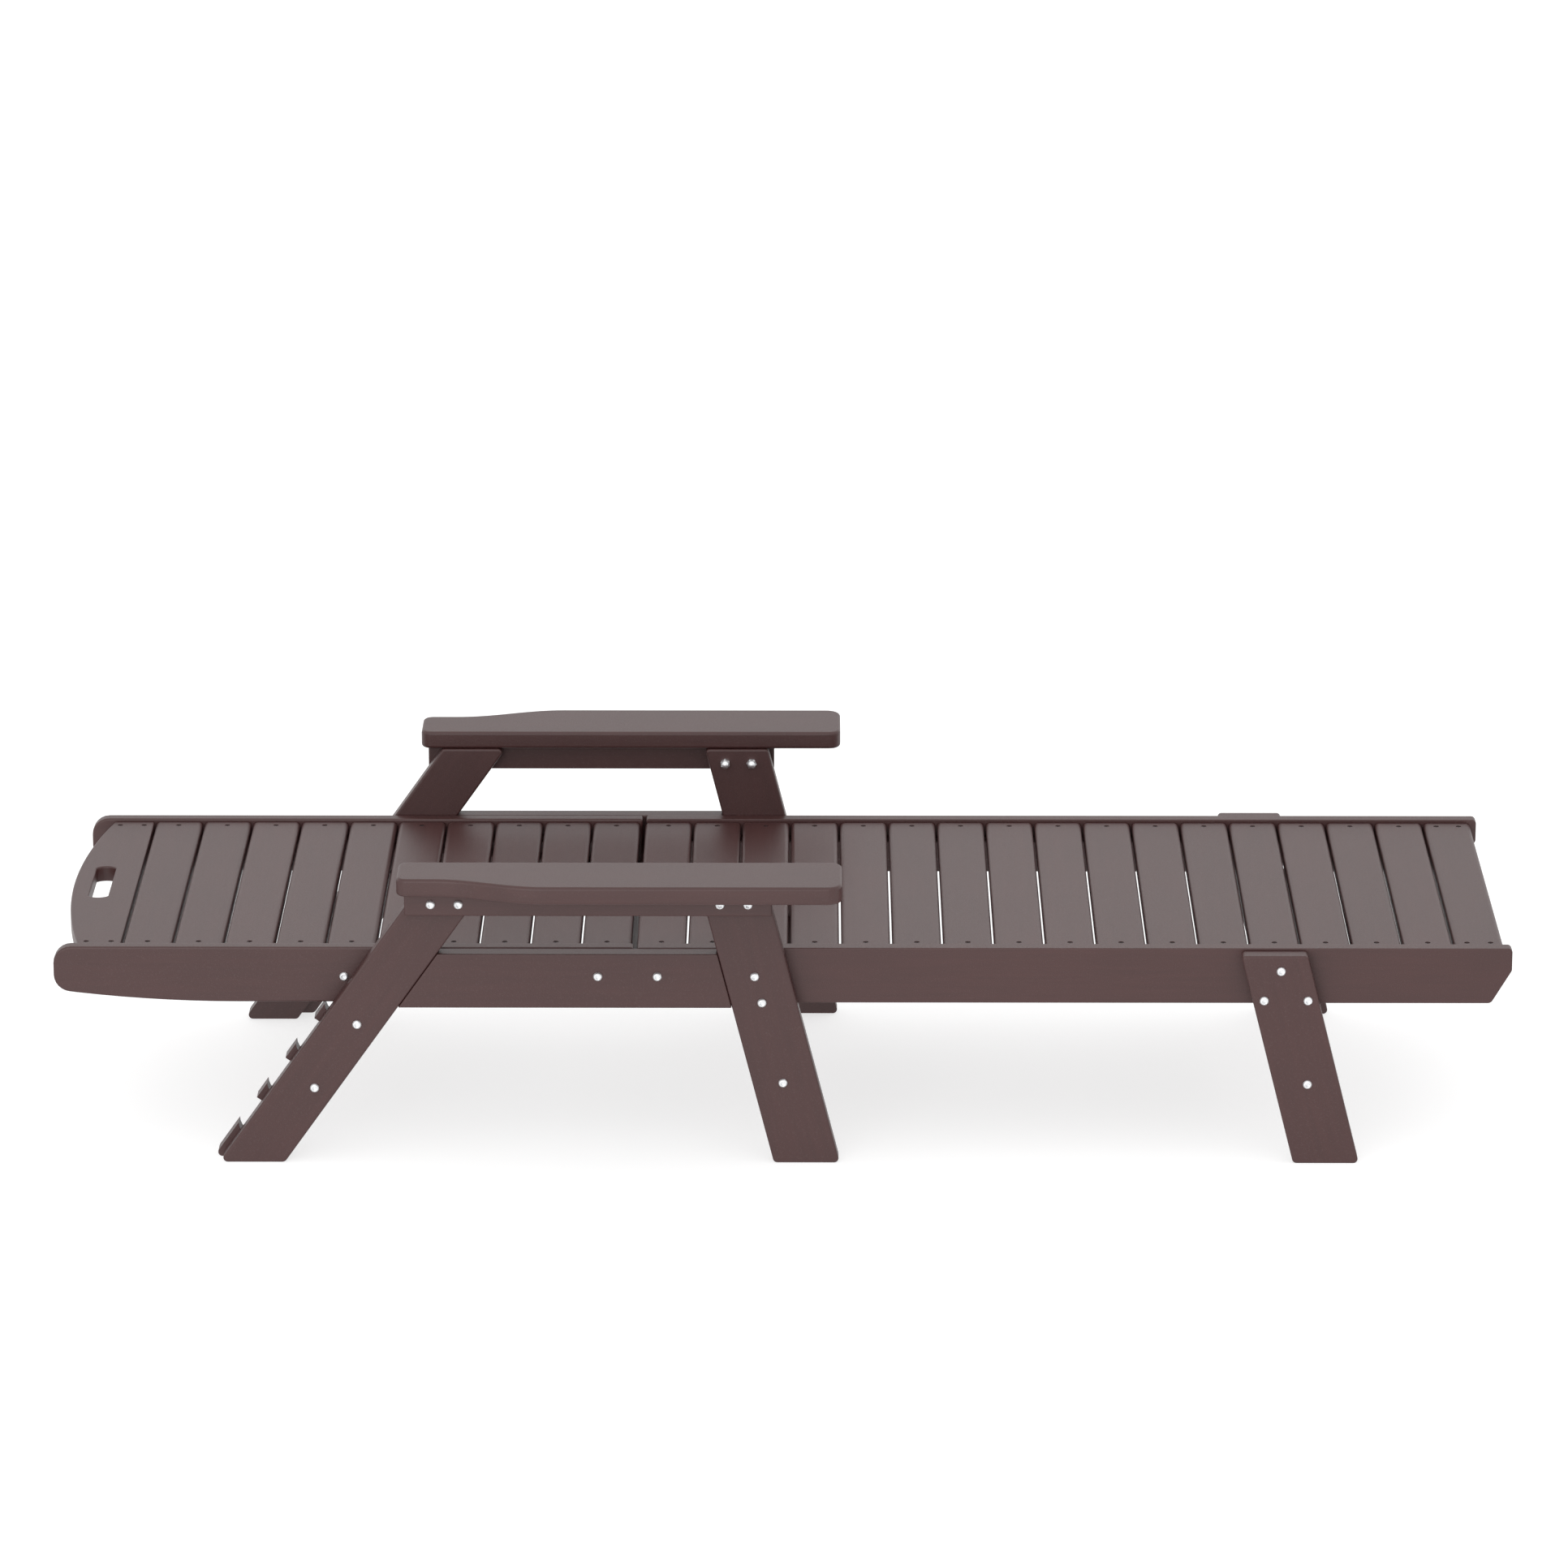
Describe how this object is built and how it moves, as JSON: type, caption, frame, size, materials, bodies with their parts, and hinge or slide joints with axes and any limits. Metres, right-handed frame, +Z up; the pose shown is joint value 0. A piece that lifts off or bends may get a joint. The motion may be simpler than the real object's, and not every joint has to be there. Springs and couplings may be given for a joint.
{
  "type": "reclining chaise lounge",
  "caption": "Slatted reclining chaise lounge with armrests: hinged back with hand-hole, prop bar on notched boards, splayed legs, all of thick rounded boards bolted together.",
  "frame": {"origin": "on the ground under the middle of the lounge", "axes": "+X to the foot end, +Y to the left of a person lying on it, +Z up"},
  "size_m": [1.98, 0.832, 0.424],
  "materials": {
    "brown_lumber": "through-coloured dark brown recycled plastic lumber, satin with a fine grain",
    "stainless_steel": "stainless button-head bolts and cap nuts",
    "coated_screws": "slat screws with a dark brown coating, heads sunk a little below the slats",
    "bar_aluminium": "satin drawn tube"
  },
  "bodies": {
    "frame": {"seat_rail_right": "brown_lumber", "seat_rail_left": "brown_lumber", "side_board_right": "brown_lumber", "side_board_left": "brown_lumber", "back_leg_right": "brown_lumber", "back_leg_left": "brown_lumber", "middle_leg_right": "brown_lumber", "middle_leg_left": "brown_lumber", "front_leg_right": "brown_lumber", "front_leg_left": "brown_lumber", "notch_board_right": "brown_lumber", "notch_board_left": "brown_lumber", "armrest_right": "brown_lumber", "armrest_left": "brown_lumber", "arm_support_right": "brown_lumber", "arm_support_left": "brown_lumber", "seat_cleat_right": "brown_lumber", "seat_cleat_left": "brown_lumber", "middle_stretcher": "brown_lumber", "front_stretcher": "brown_lumber", "seat_end_stretcher": "brown_lumber", "frame_bolts": "stainless_steel", "seat_screws": "coated_screws", "seat_slat_01": "brown_lumber", "seat_slat_02": "brown_lumber", "seat_slat_03": "brown_lumber", "seat_slat_04": "brown_lumber", "seat_slat_05": "brown_lumber", "seat_slat_06": "brown_lumber", "seat_slat_07": "brown_lumber", "seat_slat_08": "brown_lumber", "seat_slat_09": "brown_lumber", "seat_slat_10": "brown_lumber", "seat_slat_11": "brown_lumber", "seat_slat_12": "brown_lumber", "seat_slat_13": "brown_lumber", "seat_slat_14": "brown_lumber", "seat_slat_15": "brown_lumber", "seat_slat_16": "brown_lumber", "foot_slat": "brown_lumber"},
    "back": {"back_rail_right": "brown_lumber", "back_rail_left": "brown_lumber", "back_cleat_right": "brown_lumber", "back_cleat_left": "brown_lumber", "prop_pivot_bolts": "stainless_steel", "back_screws": "coated_screws", "head_slat": "brown_lumber", "back_slat_01": "brown_lumber", "back_slat_02": "brown_lumber", "back_slat_03": "brown_lumber", "back_slat_04": "brown_lumber", "back_slat_05": "brown_lumber", "back_slat_06": "brown_lumber", "back_slat_07": "brown_lumber", "back_slat_08": "brown_lumber", "back_slat_09": "brown_lumber", "back_slat_10": "brown_lumber"},
    "prop": {"prop_arm_right": "brown_lumber", "prop_arm_left": "brown_lumber", "prop_bar": "bar_aluminium"}
  },
  "joints": [
    {"name": "back_recline", "type": "hinge", "parent": "frame", "child": "back", "pos_m": [-0.25, 0, 0.2684], "axis": [0, 1, 0], "range_deg": [0, 55]},
    {"name": "prop_swing", "type": "hinge", "parent": "back", "child": "prop", "pos_m": [-0.5953, 0, 0.2595], "axis": [0, 1, 0], "range_deg": [0, 95]}
  ]
}
